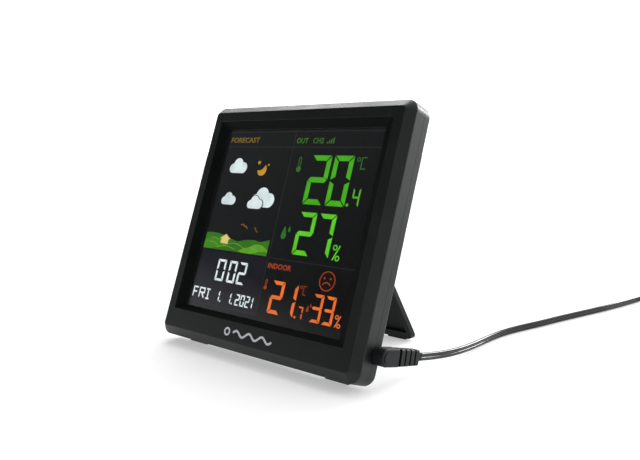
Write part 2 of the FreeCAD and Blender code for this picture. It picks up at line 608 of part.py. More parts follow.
def make_stand():
    deep = ("hinge_depth - stand_thick / 2", "hinge_depth + stand_thick / 2")
    plate = upright_taper("stand_plate", ("-stand_below", "hinge_height"), stand_half_at("-stand_below", 0),
                          "stand_top_half", deep)
    recess = upright_taper("stand_recess", (5, "hinge_height - 7"), stand_half_at(5, -3.2),
                           stand_half_at("hinge_height - 7", -3.2), (deep[0] + " - 1", "hinge_depth + 0.2"))
    ribs = [box(f"stand_rib_{number}", (x - 0.7, x + 0.7), deep, (4, "hinge_height - 6"))
            for number, x in enumerate((-9, 9))]
    barrel = cylinder("stand_barrel", "x", "barrel_radius", ("hinge_depth", "hinge_height"),
                      "-stand_top_half - 0.3", "stand_top_half + 0.3")
    heel = box("stand_heel", span(15), deep, ("hinge_height", "hinge_height + 3"))
    solid = fuse("stand_solid", cut("stand_shell", plate, recess), *ribs, barrel, heel)
    bore = cylinder("stand_bore", "x", "pin_radius + pin_play", ("hinge_depth", "hinge_height"), -30, 30)
    level_cut = table_slab("stand_level_cut", size("pad_height"), stand_place)
    trimmed = cut("stand_trimmed", solid, bore, level_cut)
    doc.recompute()
    foot = min(edge.BoundBox.ZMin for edge in trimmed.Shape.Edges)

    def foot_corner(edge):
        limits = edge.BoundBox
        through_plate = limits.YLength > 2.5 and limits.XLength < 1.5
        return through_plate and limits.ZMax < foot + 2.5 and abs(limits.Center.x) > 39
    node(rounded("kickstand", trimmed, 3.4, foot_corner), "kickstand", stand_place)
    node(cylinder("stand_pin", "x", "pin_radius", ("hinge_depth", "hinge_height"),
                  f"-({HINGE_HALF} + 3)", f"{HINGE_HALF} + 3"), "stand_pin")

    outline = [vertex.Point for vertex in trimmed.Shape.Vertexes]
    ground = [stand_place.multVec(point) for point in outline]
    level = [point for point in ground if abs(point.z - size("pad_height")) < 0.05]
    front = min(point.y for point in level) + 0.2
    back = max(point.y for point in level) - 0.2
    pads = [box(f"stand_pad_{number}", (x - 6, x + 6), (front, back), (0, "pad_height"))
            for number, x in enumerate((-28, 28))]
    node(group("stand_pads", *pads), "stand_pads", Placement())


def make_case_feet():
    """Two rubber wedges between the table and the bottom of the rear shell."""
    feet = []
    for number, x in enumerate((-50, 50)):
        block = box(f"case_foot_block_{number}", (x - 7, x + 7),
                    ("9.4 - rim_forward", "12.2 - rim_forward"), (0, 6))
        above = doc.addObject("Part::Box", f"case_foot_trim_{number}")
        above.Length, above.Width, above.Height = 300, 100, 60
        above.Placement = case_place.multiply(Placement(Vector(-150, -40, 0), Rotation()))
        feet.append(cut(f"case_foot_{number}", block, above))
    node(group("case_feet", *feet), "case_feet", Placement())


# ---------------------------------------------------------------- plug, lead and adapter

def make_plug():
    side = f"{HALF} + 0.3"
    outer = f"{HALF} + plug_out"
    half = "plug_tall / 2"
    block = box("plug_block", (side, outer), (0, "plug_block"), (f"-{half}", half))
    end = cylinder("plug_end", "x", half, (0, 0), side, outer)
    solid = rounded("plug_round", fuse("plug_solid", block, end), 0.9, at_limit("x", size("case_width") / 2
                                                                                + size("plug_out")))
    boss = cylinder("plug_boss", "x", 2.5, (0, 0), f"{outer} - 0.5", f"{outer} + 0.35")
    node(fuse("plug_body", solid, boss), "plug_body", plug_place)
    core = box("relief_core", (f"{side} + 1", f"{outer} - 1"), ("plug_block", "plug_reach - 1"),
               (f"1.2 - {half}", f"{half} - 1.2"))
    ribs = []
    for number in range(4):
        start = 11.0 + number * 4.2
        end = f"{start + 2.8}" if number < 3 else "plug_reach"
        shrink = 0.1 * (number + 1)
        rib = rounded_box(f"relief_rib_{number}", (f"{side} + {shrink}", f"{outer} - {shrink}"), (start, end),
                          (f"{shrink} - {half}", f"{half} - {shrink}"), 1.0)
        ribs.append(rib)
    ribs[-1] = rounded("relief_tip", ribs[-1], 1.2, at_limit("y", size("plug_reach")))
    node(fuse("plug_strain_relief", core, *ribs), "plug_strain_relief", plug_place)
    tip = 62.9
    barrel = cylinder("barrel_tube", "x", 1.75, (0, 0), tip, side)
    node(cut("plug_barrel", barrel, cylinder("barrel_bore", "x", 0.8, (0, 0), tip - 1, f"{HALF} - 1")),
         "plug_barrel", plug_place)


def tube_along(points, radius):
    """A tube of straight runs joined by tangent arcs, each as large as its two runs allow."""
    edges = []
    start = points[0]
    radii = []
    for before, corner, after in zip(points, points[1:], points[2:]):
        back = (before - corner)
        ahead = (after - corner)
        turn = math.pi - back.getAngle(ahead)
        setback = 0.45 * min(back.Length, ahead.Length)
        bend = setback / math.tan(turn / 2)
        radii.append(round(bend, 1))
        back.normalize()
        ahead.normalize()
        enter = corner + back * setback
        leave = corner + ahead * setback
        inward = back + ahead
        inward.normalize()
        middle = corner + inward * (bend / math.cos(turn / 2) - bend)
        edges.append(Part.LineSegment(start, enter).toShape())
        edges.append(Part.Arc(enter, middle, leave).toShape())
        start = leave
    edges.append(Part.LineSegment(start, points[-1]).toShape())
    path = Part.Wire(edges)
    ring = Part.Wire([Part.makeCircle(radius, points[0], points[1] - points[0])])
    tube = path.makePipeShell([ring], True, False)
    expected = math.pi * radius ** 2 * path.Length
    print(f"tube length {path.Length:.1f}, volume ratio {tube.Volume / expected:.4f}, bend radii {radii}")
    if abs(tube.Volume / expected - 1) > 0.01:
        raise ValueError("the tube's volume is not its section times its length")
    return tube


def make_lead():
    radius = size("lead_wide") / 2
    middle_x = size("case_width") / 2 + 0.15 + size("plug_out") / 2
    plug_tip = plug_place.multVec(Vector(middle_x, size("plug_reach"), 0))
    on_table = [to_origin.multVec(Vector(*point)) for point in CORD_ROUTE + [LEAD_INTO_COIL]]
    item = doc.addObject("Part::Feature", "cord_tube")
    item.Shape = tube_along([plug_tip] + on_table, radius)
    node(item, "cord_tube", Placement())
    relief_tip = (size("adapter_x"), size("adapter_back") + RELIEF_LONG, size("adapter_tall") / 2)
    tail = [to_origin.multVec(Vector(*point)) for point in [LEAD_FROM_COIL] + TAIL_ROUTE + [relief_tip]]
    item = doc.addObject("Part::Feature", "cord_tail")
    item.Shape = tube_along(tail, radius)
    node(item, "cord_tail", Placement())

    ring = cut("coil_ring", cylinder("coil_outside", "z", "coil_outer", ("coil_x", "coil_y"), "coil_rise",
                                     "coil_rise + coil_tall"),
               cylinder("coil_inside", "z", "coil_inner", ("coil_x", "coil_y"), 0, 20))
    node(rounded("cord_coil", ring, 1.4, lambda edge: edge.Curve.TypeId == "Part::GeomCircle"), "cord_coil",
         to_origin)
    across = ("coil_x - 2.2", "coil_x + 2.2")
    outside = rounded_box("tie_outside", across, ("coil_y + coil_inner - 1", "coil_y + coil_outer + 0.9"),
                          (0, "coil_rise + coil_tall + 0.75"), 1.5, axis="x")
    inside = box("tie_inside", ("coil_x - 3", "coil_x + 3"),
                 ("coil_y + coil_inner - 0.35", "coil_y + coil_outer + 0.2"),
                 ("coil_rise - 0.05", "coil_rise + coil_tall + 0.1"))
    node(cut("coil_tie", outside, inside), "coil_tie", to_origin)


def make_adapter():
    x = ("adapter_x - adapter_wide / 2", "adapter_x + adapter_wide / 2")
    y = ("adapter_back - adapter_long", "adapter_back")
    relief = ("adapter_x", "adapter_tall / 2")
    for name, low, high in (("adapter_base", 0, "adapter_tall / 2 - 0.1"),
                            ("adapter_lid", "adapter_tall / 2 + 0.1", "adapter_tall")):
        block = rounded_box(f"{name}_block", x, y, (low, high), 4.0, axis="z")
        limit = 0 if name == "adapter_base" else size("adapter_tall")
        shell = rounded(f"{name}_round", block, 1.6, at_limit("z", limit))
        inner_low, inner_high = (1.8, 20) if name == "adapter_base" else (0, "adapter_tall - 1.8")
        room = box(f"{name}_room",
                   ("adapter_x - adapter_wide / 2 + 1.8", "adapter_x + adapter_wide / 2 - 1.8"),
                   ("adapter_back - adapter_long + 1.8", "adapter_back - 1.8"), (inner_low, inner_high))
        hole = cylinder(f"{name}_hole", "y", 3.05, relief, "adapter_back - 3", "adapter_back + 1")
        nose = cylinder(f"{name}_nose_hole", "y", 5.05, relief, "adapter_back - adapter_long - 1",
                        "adapter_back - adapter_long + 3")
        node(cut(name, shell, room, hole, nose), name, to_origin)
    core = doc.addObject("Part::Cone", "relief_cone")
    core.Placement = Placement(Vector(), Rotation(Vector(1, 0, 0), -90))
    bind(core, {"Radius1": 3.6, "Radius2": 2.5, "Height": RELIEF_LONG - 0.1, "Placement.Base.x": "adapter_x",
                "Placement.Base.y": "adapter_back + 0.1", "Placement.Base.z": "adapter_tall / 2"})
    neck = cylinder("relief_neck", "y", 3.0, relief, "adapter_back - 2.4", "adapter_back + 1")
    collar = cylinder("relief_collar", "y", 4.2, relief, "adapter_back - 4", "adapter_back - 2.0")
    node(fuse("adapter_strain_relief", core, neck, collar), "adapter_strain_relief", to_origin)
    front = "adapter_back - adapter_long"
    nose = rounded_box("nose_block", ("adapter_x - 17.5", "adapter_x + 17.5"),
                       (f"{front} - 6", f"{front} - 0.1"),
                       ("adapter_tall / 2 - 6.8", "adapter_tall / 2 + 6.8"), 5.0)
    neck = cylinder("nose_neck", "y", 5.0, relief, f"{front} - 0.5", f"{front} + 2.6")
    flange = cylinder("nose_flange", "y", 6.5, relief, f"{front} + 2.0", f"{front} + 4")
    holes = []
    prongs = []
    for side in (-1, 1):
        centre = (f"adapter_x + {side} * prong_spacing / 2", "adapter_tall / 2")
        holes.append(cylinder(f"nose_hole_{side + 1}", "y", "prong_root", centre, f"{front} - 7", f"{front}"))
        pin = cylinder(f"prong_pin_{side + 1}", "y", "prong_radius", centre, f"{front} - 6 - prong_long",
                       f"{front} - 6")
        tip = size("adapter_back") - size("adapter_long") - 6 - size("prong_long")
        root = cylinder(f"prong_root_{side + 1}", "y", "prong_root", centre, f"{front} - 6.5",
                        f"{front} - 0.2")
        tipped = rounded(f"prong_tip_{side + 1}", pin, 1.0, at_limit("y", tip))
        prongs.append(fuse(f"prong_{side + 1}", tipped, root))
    node(cut("adapter_nose", fuse("nose_solid", nose, neck, flange), *holes), "adapter_nose", to_origin)
    node(group("adapter_pins", *prongs), "adapter_pins", to_origin)


# ---------------------------------------------------------------- checks and output

def check(item):
    if "Invalid" in item.State or "Error" in item.State:
        raise RuntimeError(f"{item.Name} failed: {item.State}")


def write_parts():
    doc.recompute()
    for item in doc.Objects:
        check(item)
    for item in nodes:
        shape = item.Shape
        if shape.isNull() or not shape.isValid() or not shape.Solids:
            raise RuntimeError(f"{item.Label} has no valid solid")
    os.makedirs("parts", exist_ok=True)
    for item in nodes:
        item.Shape.exportStep(os.path.join("parts", f"{item.Label}.step"))
        limits = item.Shape.BoundBox
        print(f"{item.Label:24s} {len(item.Shape.Solids)} solid(s) {item.Shape.Volume:10.1f} mm3  "
              f"x {limits.XMin:7.2f} {limits.XMax:7.2f}  y {limits.YMin:7.2f} {limits.YMax:7.2f}  "
              f"z {limits.ZMin:7.2f} {limits.ZMax:7.2f}")
    print(len(nodes), "parts")


make_front_bezel()
make_display()
make_board()
make_screws()
make_rear_cover()
make_coin_cell_bay()
make_buttons()
make_stand()
make_case_feet()
make_plug()
make_lead()
make_adapter()
write_parts()
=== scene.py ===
"""Home weather station on its stand: its finishes, lit display, mains lead, light and camera.

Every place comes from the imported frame. The case leans back and has a frame of its own, in
millimetres: u runs across it, v up it and n out of its front, from the middle of its lower rim.
"""

import json
import math

import bmesh
import bpy
from mathutils import Matrix, Vector


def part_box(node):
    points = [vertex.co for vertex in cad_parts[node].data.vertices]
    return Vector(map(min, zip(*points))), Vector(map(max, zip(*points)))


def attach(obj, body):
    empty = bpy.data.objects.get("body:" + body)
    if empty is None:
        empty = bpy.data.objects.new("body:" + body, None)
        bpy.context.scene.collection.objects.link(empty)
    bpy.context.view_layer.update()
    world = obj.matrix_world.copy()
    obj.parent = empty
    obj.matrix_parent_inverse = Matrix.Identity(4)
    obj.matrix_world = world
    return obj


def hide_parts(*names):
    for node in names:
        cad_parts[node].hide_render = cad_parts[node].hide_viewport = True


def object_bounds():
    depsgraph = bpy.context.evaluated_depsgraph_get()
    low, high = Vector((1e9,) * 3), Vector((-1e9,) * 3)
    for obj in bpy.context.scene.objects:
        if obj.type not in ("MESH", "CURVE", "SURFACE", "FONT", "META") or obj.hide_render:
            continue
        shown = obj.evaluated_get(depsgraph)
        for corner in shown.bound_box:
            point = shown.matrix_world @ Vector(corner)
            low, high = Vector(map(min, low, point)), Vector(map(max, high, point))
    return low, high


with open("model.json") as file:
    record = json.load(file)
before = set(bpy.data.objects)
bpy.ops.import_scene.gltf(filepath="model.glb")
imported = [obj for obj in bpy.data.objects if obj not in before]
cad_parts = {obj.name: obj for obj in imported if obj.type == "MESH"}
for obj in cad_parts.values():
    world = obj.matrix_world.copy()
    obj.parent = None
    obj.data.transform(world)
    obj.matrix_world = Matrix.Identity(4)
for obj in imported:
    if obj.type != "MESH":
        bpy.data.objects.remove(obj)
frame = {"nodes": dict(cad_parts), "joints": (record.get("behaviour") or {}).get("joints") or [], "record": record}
cad_low, cad_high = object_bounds()

MM = 0.001
JOINTS = {joint["name"]: joint for joint in frame["joints"]}
MOUNTS = {mount["name"]: mount for mount in frame["record"]["mounts"]}

# The case's own frame
ACROSS = Vector((1, 0, 0))
UP = -Vector(JOINTS["snooze_press"]["axis"])
OUT = -Vector(JOINTS["cell_door_turn"]["axis"])
HOLE_HEIGHT = 113.5
HOLE_DEPTH = 19.0
CASE_ORIGIN = Vector(MOUNTS["hanging_hole"]["pos_m"]) - MM * (HOLE_HEIGHT * UP - HOLE_DEPTH * OUT)
CASE_TURN = Matrix((ACROSS, UP, OUT)).transposed().to_4x4()
CASE = Matrix.Translation(CASE_ORIGIN) @ CASE_TURN @ Matrix.Scale(MM, 4)


# ---------------------------------------------------------------------------------------------
# Finishes
# ---------------------------------------------------------------------------------------------

def srgb(red, green, blue):
    """A colour given as it looks on a screen, 0 to 255, turned into linear light."""
    channels = []
    for value in (red, green, blue):
        share = value / 255
        channels.append(share / 12.92 if share <= 0.04045 else ((share + 0.055) / 1.055) ** 2.4)
    return tuple(channels)


def toned(colour, factor):
    """A linear colour made lighter or darker, with its alpha."""
    return (*(min(1.0, channel * factor) for channel in colour), 1.0)


class Finish:
    """A material with one Principled shader, and short calls for the textures that feed it."""

    def __init__(self, name):
        self.material = bpy.data.materials.new(name)
        self.material.use_nodes = True
        self.nodes = self.material.node_tree.nodes
        self.links = self.material.node_tree.links
        self.surface = self.nodes["Principled BSDF"]
        self.place = self.nodes.new("ShaderNodeTexCoord").outputs["Object"]

    def fix(self, **values):
        """Sets sockets that stay the same all over, named with _ for each space."""
        for name, value in values.items():
            self.surface.inputs[name.replace("_", " ")].default_value = value

    def feed(self, name, output):
        self.links.new(output, self.surface.inputs[name])

    def scaled(self, size, stretch=(1, 1, 1)):
        """The place on the object, counted in steps of size millimetres."""
        mapping = self.nodes.new("ShaderNodeMapping")
        mapping.inputs["Scale"].default_value = [share / (size * MM) for share in stretch]
        self.links.new(self.place, mapping.inputs["Vector"])
        return mapping.outputs["Vector"]

    def noise(self, size, detail=2.0, stretch=(1, 1, 1)):
        noise = self.nodes.new("ShaderNodeTexNoise")
        noise.inputs["Scale"].default_value = 1.0
        noise.inputs["Detail"].default_value = detail
        self.links.new(self.scaled(size, stretch), noise.inputs["Vector"])
        return noise.outputs["Fac"]

    def cells(self, size, stretch=(1, 1, 1)):
        cells = self.nodes.new("ShaderNodeTexVoronoi")
        cells.inputs["Scale"].default_value = 1.0
        self.links.new(self.scaled(size, stretch), cells.inputs["Vector"])
        return cells.outputs["Distance"]

    def ramp(self, value, *stops):
        """Colours along a grey value. Each stop is (position, colour)."""
        ramp = self.nodes.new("ShaderNodeValToRGB")
        elements = ramp.color_ramp.elements
        while len(elements) < len(stops):
            elements.new(0.5)
        for element, (position, colour) in zip(elements, stops):
            element.position = position
            element.color = colour
        self.links.new(value, ramp.inputs["Fac"])
        return ramp.outputs["Color"]

    def spread(self, value, low, high):
        """A noise value turned into a number from low to high."""
        spread = self.nodes.new("ShaderNodeMapRange")
        spread.inputs["From Min"].default_value = 0.3
        spread.inputs["From Max"].default_value = 0.7
        spread.inputs["To Min"].default_value = low
        spread.inputs["To Max"].default_value = high
        self.links.new(value, spread.inputs["Value"])
        return spread.outputs["Result"]

    def sum(self, first, second, share):
        """first + share * second."""
        add = self.nodes.new("ShaderNodeMath")
        add.operation = "MULTIPLY_ADD"
        self.links.new(second, add.inputs[0])
        add.inputs[1].default_value = share
        self.links.new(first, add.inputs[2])
        return add.outputs["Value"]

    def bump(self, height, depth):
        bump = self.nodes.new("ShaderNodeBump")
        bump.inputs["Strength"].default_value = 1.0
        bump.inputs["Distance"].default_value = depth * MM
        self.links.new(height, bump.inputs["Height"])
        self.feed("Normal", bump.outputs["Normal"])


def moulded(name, colour, roughness, grain, depth, shine=0.4):
    """Moulded plastic: an etched grain, with faint flow marks in its colour and its gloss."""
    finish = Finish(name)
    fine = finish.noise(grain, detail=4.0)
    broad = finish.noise(grain * 60, detail=3.0)
    mixed = finish.sum(broad, fine, 0.35)
    finish.feed("Base Color", finish.ramp(mixed, (0.45, toned(colour, 0.8)), (0.95, toned(colour, 1.3))))
    finish.feed("Roughness", finish.spread(broad, roughness - 0.05, roughness + 0.05))
    finish.bump(fine, depth)
    finish.fix(Specular_IOR_Level=shine)
    return finish.material


def glossy(name, colour):
    """Soft PVC insulation: smooth and shiny, with faint waves from the extruder."""
    finish = Finish(name)
    waves = finish.noise(2.2, detail=2.0)
    finish.feed("Base Color", finish.ramp(waves, (0.3, toned(colour, 0.85)), (0.7, toned(colour, 1.2))))
    finish.feed("Roughness", finish.spread(waves, 0.08, 0.16))
    finish.bump(waves, 0.03)
    finish.fix(Specular_IOR_Level=0.24)
    return finish.material


def rubber(name, colour, roughness=0.72):
    finish = Finish(name)
    pores = finish.cells(0.35)
    finish.feed("Base Color", finish.ramp(pores, (0.0, toned(colour, 0.7)), (0.6, toned(colour, 1.3))))
    finish.feed("Roughness", finish.spread(finish.noise(2.5), roughness - 0.08, roughness + 0.08))
    finish.bump(pores, 0.02)
    finish.fix(Specular_IOR_Level=0.35)
    return finish.material


def metal(name, colour, roughness, stretch=(1, 1, 14)):
    """Drawn or plated metal, with fine lines along it."""
    finish = Finish(name)
    lines = finish.noise(0.6, detail=5.0, stretch=stretch)
    finish.feed("Base Color", finish.ramp(lines, (0.3, toned(colour, 0.82)), (0.7, toned(colour, 1.08))))
    finish.feed("Roughness", finish.spread(lines, roughness - 0.06, roughness + 0.1))
    finish.bump(lines, 0.004)
    finish.fix(Metallic=1.0)
    return finish.material


def board(name):
    """Green circuit board: solder mask over copper tracks and dark bare lines."""
    finish = Finish(name)
    tracks = finish.nodes.new("ShaderNodeTexBrick")
    tracks.inputs["Scale"].default_value = 1.0
    tracks.inputs["Mortar Size"].default_value = 0.04
    tracks.inputs["Color1"].default_value = (*srgb(20, 92, 50), 1)
    tracks.inputs["Color2"].default_value = (*srgb(28, 112, 60), 1)
    tracks.inputs["Mortar"].default_value = (*srgb(10, 58, 34), 1)
    finish.links.new(finish.scaled(3.2, (1, 1, 2.2)), tracks.inputs["Vector"])
    finish.feed("Base Color", tracks.outputs["Color"])
    finish.feed("Roughness", finish.spread(finish.noise(4.0), 0.22, 0.36))
    finish.bump(tracks.outputs["Fac"], 0.03)
    return finish.material


def sheet_white(name, colour, roughness):
    """Milky film and white trays: faint cloudiness and a satin face."""
    finish = Finish(name)
    cloud = finish.noise(6.0, detail=3.0)
    finish.feed("Base Color", finish.ramp(cloud, (0.3, toned(colour, 0.93)), (0.7, toned(colour, 1.0))))
    finish.feed("Roughness", finish.spread(cloud, roughness - 0.06, roughness + 0.06))
    finish.bump(finish.noise(0.4), 0.006)
    return finish.material


def clear(name, roughness, tint):
    """Clear acrylic, with the faint smears and hairlines that a wiped pane has."""
    finish = Finish(name)
    smears = finish.noise(9.0, detail=4.0, stretch=(1, 1, 0.4))
    finish.feed("Roughness", finish.spread(smears, roughness * 0.6, roughness * 1.6))
    finish.feed("Base Color", finish.ramp(smears, (0.3, toned(tint, 0.98)), (0.7, toned(tint, 1.0))))
    finish.bump(finish.noise(14.0), 0.0015)
    finish.fix(IOR=1.49, Transmission_Weight=1.0)
    return finish.material


def panel(name):
    """The dark LCD: a fine dot grid, with a little of the backlight showing through at the upper left."""
    finish = Finish(name)
    low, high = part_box("lcd_panel")
    across = finish.nodes.new("ShaderNodeSeparateXYZ")
    finish.links.new(finish.place, across.inputs["Vector"])
    rise = finish.nodes.new("ShaderNodeMapRange")
    rise.inputs["From Min"].default_value = low.z
    rise.inputs["From Max"].default_value = high.z
    finish.links.new(across.outputs["Z"], rise.inputs["Value"])
    fall = finish.nodes.new("ShaderNodeMapRange")
    fall.inputs["From Min"].default_value = low.x
    fall.inputs["From Max"].default_value = high.x
    fall.inputs["To Min"].default_value = 1.0
    fall.inputs["To Max"].default_value = 0.0
    finish.links.new(across.outputs["X"], fall.inputs["Value"])
    glow = finish.sum(rise.outputs["Result"], fall.outputs["Result"], 0.8)
    dark, light = srgb(4, 4, 5), srgb(14, 16, 17)
    finish.feed("Emission Color", finish.ramp(glow, (0.1, (*dark, 1)), (1.0, (*light, 1))))
    dots = finish.cells(0.25)
    finish.feed("Base Color", finish.ramp(dots, (0.0, toned(dark, 0.8)), (0.7, toned(light, 0.7))))
    finish.feed("Roughness", finish.spread(finish.noise(3.0), 0.3, 0.4))
    finish.fix(Emission_Strength=0.8, Specular_IOR_Level=0.1)
    return finish.material


def lit(name, colour, strength=1.0):
    """One colour of the display, a little uneven because the light behind it is."""
    finish = Finish(name)
    uneven = finish.noise(7.0, detail=1.0)
    shades = finish.ramp(uneven, (0.3, toned(colour, 0.86)), (0.7, toned(colour, 1.1)))
    finish.feed("Emission Color", shades)
    finish.feed("Base Color", finish.ramp(uneven, (0.3, toned(colour, 0.05)), (0.7, toned(colour, 0.08))))
    finish.fix(Emission_Strength=strength, Roughness=0.4, Specular_IOR_Level=0.1)
    return finish.material


def printed(name, colour):
    """Pad-printed ink on the case: slightly patchy, with the case's grain in it."""
    finish = Finish(name)
    patchy = finish.noise(0.5, detail=3.0)
    finish.feed("Base Color", finish.ramp(patchy, (0.3, toned(colour, 0.8)), (0.7, toned(colour, 1.05))))
    finish.feed("Roughness", finish.spread(patchy, 0.4, 0.55))
    finish.bump(patchy, 0.008)
    return finish.material


CASE_TONE = srgb(14, 18, 18)
FINISHES = {
    "case_black": moulded("case_black", CASE_TONE, 0.42, grain=0.32, depth=0.05, shine=0.32),
    "stand_black": moulded("stand_black", srgb(17, 20, 20), 0.5, grain=0.3, depth=0.045, shine=0.2),
    "key_black": moulded("key_black", srgb(33, 35, 36), 0.34, grain=0.5, depth=0.012),
    "foot_rubber": rubber("foot_rubber", srgb(30, 30, 30)),
    "clear_pane": clear("clear_pane", 0.004, (0.96, 0.97, 0.98)),
    "display": panel("display"),
    "light_sheet": sheet_white("light_sheet", (0.86, 0.86, 0.84), 0.5),
    "light_acrylic": clear("light_acrylic", 0.06, (0.9, 0.95, 0.97)),
    "tray_white": sheet_white("tray_white", (0.8, 0.8, 0.78), 0.45),
    "board_green": board("board_green"),
    "chip_black": moulded("chip_black", srgb(34, 34, 35), 0.6, grain=0.15, depth=0.01),
    "can_metal": metal("can_metal", (0.76, 0.76, 0.77), 0.28),
    "steel": metal("steel", (0.56, 0.56, 0.57), 0.3),
    "nickel": metal("nickel", (0.78, 0.76, 0.72), 0.2),
    "zebra_rubber": rubber("zebra_rubber", (0.42, 0.42, 0.4)),
    "plug_black": moulded("plug_black", srgb(20, 24, 25), 0.5, grain=0.35, depth=0.02, shine=0.16),
    "lead_black": glossy("lead_black", srgb(15, 18, 18)),
    "adapter_black": moulded("adapter_black", srgb(26, 28, 29), 0.44, grain=0.32, depth=0.045),
}

for part in frame["record"]["subparts"]:
    node_mesh = frame["nodes"][part["node"]].data
    node_mesh.materials.clear()
    node_mesh.materials.append(FINISHES[part["material_slot"]])


# ---------------------------------------------------------------------------------------------
# Drawing on the case
# ---------------------------------------------------------------------------------------------

class Drawing:
    """Thin raised shapes in one colour, drawn in case millimetres between two depths."""

    def __init__(self, back, front):
        self.mesh = bmesh.new()
        self.back = back
        self.front = front

    def _strip(self, pairs, closed):
        """A band through pairs of (left, right) points."""
        rings = []
        for left, right in pairs:
            corners = ((left, self.back), (right, self.back), (right, self.front), (left, self.front))
            rings.append([self.mesh.verts.new((*spot, depth)) for spot, depth in corners])
        spans = list(zip(rings, rings[1:]))
        if closed:
            spans.append((rings[-1], rings[0]))
        for here, there in spans:
            for side in range(4):
                after = (side + 1) % 4
                self.mesh.faces.new((here[side], here[after], there[after], there[side]))
        if not closed:
            self.mesh.faces.new(reversed(rings[0]))
            self.mesh.faces.new(rings[-1])

    def fill(self, outline):
        """A filled shape inside its outline."""
        low = [self.mesh.verts.new((*spot, self.back)) for spot in outline]
        high = [self.mesh.verts.new((*spot, self.front)) for spot in outline]
        self.mesh.faces.new(reversed(low))
        self.mesh.faces.new(high)
        for here in range(len(outline)):
            there = (here + 1) % len(outline)
            self.mesh.faces.new((low[here], low[there], high[there], high[here]))

    def stroke(self, points, width, closed=False):
        """A line of one width through points, mitred at its corners."""
        points = [Vector(point) for point in points]
        pairs = []
        for index, point in enumerate(points):
            before = points[index - 1] if index or closed else None
            after = points[(index + 1) % len(points)] if index + 1 < len(points) or closed else None
            ways = [(point - before).normalized()] if before is not None else []
            ways += [(after - point).normalized()] if after is not None else []
            along = sum(ways, Vector((0, 0))).normalized()
            aside = Vector((-along.y, along.x))
            reach = width / 2 / max(0.4, along.dot(ways[0]))
            pairs.append(((point + aside * reach)[:], (point - aside * reach)[:]))
        self._strip(pairs, closed)

    def disc(self, u, v, radius, points=24):
        turns = [2 * math.pi * step / points for step in range(points)]
        self.fill([(u + radius * math.cos(turn), v + radius * math.sin(turn)) for turn in turns])

    def ring(self, u, v, radius, width, points=40):
        turns = [2 * math.pi * step / points for step in range(points)]
        spots = [(u + radius * math.cos(turn), v + radius * math.sin(turn)) for turn in turns]
        self.stroke(spots, width, closed=True)

    def word(self, text, left, right, bottom, top):
        """Plain lettering, fitted to a box."""
        curve = bpy.data.curves.new("word", "FONT")
        curve.body = text
        curve.resolution_u = 3
        curve.extrude = 0.5
        curve.offset = 0.022
        holder = bpy.data.objects.new("word", curve)
        letters = bpy.data.meshes.new_from_object(holder)
        spots = [vertex.co for vertex in letters.vertices]
        low = Vector([min(spot[axis] for spot in spots) for axis in range(3)])
        high = Vector([max(spot[axis] for spot in spots) for axis in range(3)])
        sizes = (right - left, top - bottom, self.front - self.back)
        for spot in spots:
            for axis, (start, size) in enumerate(zip((left, bottom, self.back), sizes)):
                spot[axis] = start + size * (spot[axis] - low[axis]) / (high[axis] - low[axis])
        self.mesh.from_mesh(letters)
        bpy.data.objects.remove(holder)
        bpy.data.curves.remove(curve)
        bpy.data.meshes.remove(letters)

    def done(self, name, body, slot, material, frame_of=CASE):
        """The drawing as a piece that rides on a body."""
        bmesh.ops.remove_doubles(self.mesh, verts=self.mesh.verts, dist=1e-5)
        bmesh.ops.recalc_face_normals(self.mesh, faces=self.mesh.faces)
        mesh = bpy.data.meshes.new(name)
        self.mesh.to_mesh(mesh)
        self.mesh.free()
        mesh.transform(frame_of)
        mesh.materials.append(material)
        piece = bpy.data.objects.new(name, mesh)
        bpy.context.scene.collection.objects.link(piece)
        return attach(piece, body)


# The bars that each digit shown here lights: a is the top one, then clockwise, and g is the middle one
DIGIT_BARS = {"0": "abcdef", "1": "bc", "2": "abdeg", "3": "abcdg", "4": "bcfg", "7": "abc"}
DIGIT_GAP = 0.16


def digit(drawing, figure, left, right, bottom, top, width):
    """A seven-bar digit in a box, each bar mitred where it meets its neighbours."""
    gap = DIGIT_GAP * width
    middle = (bottom + top) / 2
    half = width / 2

    def level(outer, inner):
        return [(left + gap, outer), (right - gap, outer),
                (right - width - gap, inner), (left + width + gap, inner)]

    def upright(outer, inner, low, high, low_cut, high_cut):
        return [(outer, low), (outer, high), (inner, high - high_cut), (inner, low + low_cut)]

    centre = [(left + gap, middle), (left + gap + half, middle + half), (right - gap - half, middle + half),
              (right - gap, middle), (right - gap - half, middle - half), (left + gap + half, middle - half)]
    bars = {
        "a": level(top, top - width),
        "b": upright(right, right - width, middle + gap, top - gap, half, width),
        "c": upright(right, right - width, bottom + gap, middle - gap, width, half),
        "d": level(bottom, bottom + width),
        "e": upright(left, left + width, bottom + gap, middle - gap, width, half),
        "f": upright(left, left + width, middle + gap, top - gap, half, width),
        "g": centre,
    }
    for bar in DIGIT_BARS[figure]:
        drawing.fill(bars[bar])


LETTER_LINES = {
    "F": (((0, 0), (0, 1), (1, 1)), ((0, 0.52), (0.8, 0.52))),
    "R": (((0, 0), (0, 1), (1, 1), (1, 0.52), (0, 0.52)), ((0.45, 0.52), (1, 0))),
    "I": (((0, 1), (1, 1)), ((0.5, 1), (0.5, 0)), ((0, 0), (1, 0))),
    "C": (((1, 1), (0, 1), (0, 0), (1, 0)),),
}


def letter(drawing, name, left, right, bottom, top, width):
    for line in LETTER_LINES[name]:
        drawing.stroke([(left + (right - left) * x, bottom + (top - bottom) * y) for x, y in line], width)


def degrees(drawing, left, right, bottom, top, width):
    """The degree ring and its C, in a box."""
    radius = 0.16 * (top - bottom)
    drawing.ring(left + radius, top - radius, radius, width * 0.8, points=16)
    letter(drawing, "C", left + 3.2 * radius, right, bottom, top, width)


